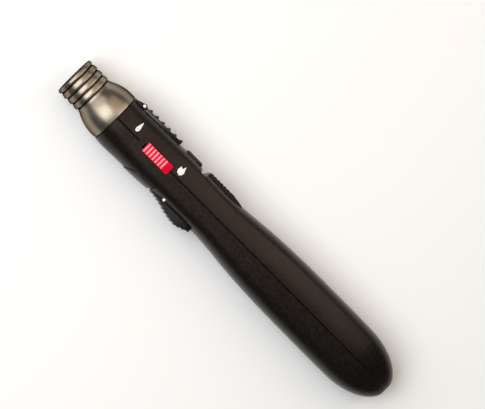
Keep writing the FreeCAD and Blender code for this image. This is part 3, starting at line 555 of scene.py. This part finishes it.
makeNozzle()
print("nozzle turned")
softEdges = {  # mm
    "adjuster_slider": 0.17,
    "thumb_grip": 0.1,
    "lock_slider": 0.1,
    "trigger": 0.14,
}
for name, width in softEdges.items():
    softened(name, width)
print("controls softened")


# printed marks for a low and a high flame; points are mm to the back and to the thumb side of the middle
flameMarks = {
    "lift": 0.03,  # mm the print stands proud of the shell
    "above": 20,  # mm over the axis, where a mark starts before it drops onto the shell
    "steps": 5,  # points between two given ones
    "holeSteps": 16,
    "cuts": 2,  # so that the print follows the shell's curve
    "lowFlame": {
        "middle": (30.7, -3.55),
        "outline": [
            (0.05, 2.25), (0.42, 1.2), (0.74, 0.0), (0.78, -1.0), (0.45, -1.8),
            (-0.1, -2.05), (-0.62, -1.75), (-0.8, -0.95), (-0.68, 0.05), (-0.3, 1.25),
        ],
        "hole": (-0.05, -1.0, 0.2),
    },
    "highFlame": {
        "middle": (53.4, -3.2),
        "outline": [
            (0.55, 2.15), (0.95, 1.0), (1.42, 0.1), (1.3, -1.0), (0.75, -1.75), (0.1, -1.95),
            (-0.15, -1.45), (-0.5, -1.75), (-1.05, -1.2), (-1.3, -0.3), (-1.15, 0.5),
            (-1.0, 1.25), (-0.4, 0.75), (0.1, 1.0),
        ],
        "hole": None,
    },
}


def throughPoints(points, steps):
    # a smooth closed line through the points
    line = []
    count = len(points)
    for i in range(count):
        a, b, c, d = (Vector(points[(i + k) % count]) for k in (-1, 0, 1, 2))
        for j in range(steps):
            t = j / steps
            bend = (c - a) * t + (2 * a - 5 * b + 4 * c - d) * t * t + (3 * b - a - 3 * c + d) * t ** 3
            line.append(b + bend / 2)
    return line


def makeFlameMark(name, mark):
    shell = frame["nodes"]["back_shell"].data
    faces = [p.vertices for p in shell.polygons]
    tree = BVHTree.FromPolygons([v.co for v in shell.vertices], faces)
    above, lift = flameMarks["above"], flameMarks["lift"] * mm
    middleS, middleY = mark["middle"]
    bm = bmesh.new()
    outline = throughPoints(mark["outline"], flameMarks["steps"])
    loop = [bm.verts.new(place(middleS + p.x, middleY - p.y, above)) for p in outline]
    edges = [bm.edges.new(pair) for pair in zip(loop, loop[1:] + loop[:1])]
    if mark["hole"]:
        holeS, holeY, radius = mark["hole"]
        centre = Matrix.Translation(place(middleS + holeS, middleY - holeY, above))
        ring = bmesh.ops.create_circle(
            bm, segments=flameMarks["holeSteps"], radius=radius * mm, matrix=centre
        )["verts"]
        edges += list({e for v in ring for e in v.link_edges})
    bmesh.ops.triangle_fill(bm, edges=edges, use_beauty=True)
    bmesh.ops.subdivide_edges(bm, edges=bm.edges, cuts=flameMarks["cuts"], use_grid_fill=True)
    for vert in bm.verts:
        hit = tree.ray_cast(vert.co, Vector((0, 0, -1)))[0]
        vert.co = hit + Vector((0, 0, lift))
    bmesh.ops.recalc_face_normals(bm, faces=bm.faces)
    if sum(f.normal.z for f in bm.faces) < 0:
        bmesh.ops.reverse_faces(bm, faces=bm.faces)
    bmesh.ops.solidify(bm, geom=list(bm.faces), thickness=2 * lift)
    bmesh.ops.recalc_face_normals(bm, faces=bm.faces)
    return ownPiece(name, bm, mat=whitePaint, body="torch_body")


for name in ("lowFlame", "highFlame"):
    makeFlameMark(name, flameMarks[name])
print("flame marks printed")


studio = {
    "lean": 7.6,  # how far the mouth leans to the camera, in degrees
    "roll": 3.0,  # how far it is turned about its length
    "slant": 45.3,  # its slope across the view
    "distance": 0.9,  # metres
    "lens": 174.8,
    "aim": (0.0045, 0.0112),  # metres to the view's right and up, from the torch's middle
    "near": 0.01,  # metres from the camera at which it starts to see
    "floor": (0.955, 0.975, 1.0),
    "floorRoughness": 0.9,
    "floorSize": 1.5,
    "worldColour": (1, 1, 1),
    "worldStrength": 0.12,
}


def makeCamera():
    lean, roll, slant = (math.radians(studio[k]) for k in ("lean", "roll", "slant"))
    along = Vector((-math.cos(slant) * math.cos(lean), math.sin(slant) * math.cos(lean), math.sin(lean)))
    across = Vector((-math.sin(slant), -math.cos(slant), 0))
    upright = along.cross(across)
    across, upright = (
        across * math.cos(roll) + upright * math.sin(roll),
        upright * math.cos(roll) - across * math.sin(roll),
    )
    right, up, back = (Vector((along[i], across[i], upright[i])) for i in range(3))
    aim = place(torchLength / mm / 2, 0, 0) + right * studio["aim"][0] + up * studio["aim"][1]
    camera = bpy.data.objects.new("camera", bpy.data.cameras.new("camera"))
    bpy.context.scene.collection.objects.link(camera)
    camera.data.lens = studio["lens"]
    camera.data.clip_start = studio["near"]
    camera.matrix_world = Matrix((right, up, back)).transposed().to_4x4()
    camera.matrix_world.translation = aim + back * studio["distance"]
    bpy.context.scene.camera = camera
    return camera


# softboxes: direction from the torch, size along and across it, brightness of the face, colour
softboxes = {
    "topLight": {
        "toward": (0.34, 0.27, 0.9),
        "size": (0.44, 0.62),
        "glow": 4.0,
        "colour": (1, 0.99, 0.97),
    },
    "warmLight": {
        "toward": (0.3, -0.56, 0.77),
        "size": (0.4, 0.72),
        "glow": 1.0,
        "colour": (1, 0.78, 0.54),
    },
    "facetLight": {
        "toward": (-0.17, -0.66, 0.73),
        "size": (0.16, 0.9),
        "glow": 3.0,
        "colour": (1, 0.88, 0.76),
    },
    "ringLight": {
        "toward": (0.77, 0.12, 0.64),
        "size": (0.26, 0.8),
        "glow": 2.0,
        "colour": (1, 0.98, 0.95),
    },
}
softboxDistance = 0.7  # metres from the torch's middle


def makeSoftbox(name, box):
    lamp = bpy.data.lights.new(name, "AREA")
    lamp.shape = "RECTANGLE"
    lamp.size, lamp.size_y = box["size"]
    lamp.energy = box["glow"] * math.pi * box["size"][0] * box["size"][1]
    lamp.color = box["colour"]
    light = bpy.data.objects.new(name, lamp)
    bpy.context.scene.collection.objects.link(light)
    toward = Vector(box["toward"]).normalized()
    across = toward.cross(Vector((1, 0, 0))).normalized()
    light.matrix_world = Matrix((across.cross(toward), across, toward)).transposed().to_4x4()
    light.location = place(torchLength / mm / 2, 0, 0) + toward * softboxDistance
    return light


def makeFloor():
    bm = bmesh.new()
    bmesh.ops.create_grid(bm, x_segments=1, y_segments=1, size=studio["floorSize"])
    mesh = bpy.data.meshes.new("floor")
    bm.to_mesh(mesh)
    bm.free()
    floor = bpy.data.objects.new("floor", mesh)
    bpy.context.scene.collection.objects.link(floor)
    look = {"Base Color": (*studio["floor"], 1), "Roughness": studio["floorRoughness"]}
    mat, shader = newMaterial("floor", look)
    mesh.materials.append(mat)
    return floor


makeCamera()
makeFloor()
for name, box in softboxes.items():
    makeSoftbox(name, box)
world = bpy.data.worlds.new("world")
bpy.context.scene.world = world
world.use_nodes = True
background = world.node_tree.nodes["Background"]
background.inputs["Color"].default_value = (*studio["worldColour"], 1)
background.inputs["Strength"].default_value = studio["worldStrength"]
bpy.context.scene.view_settings.view_transform = "Standard"
print("studio ready")
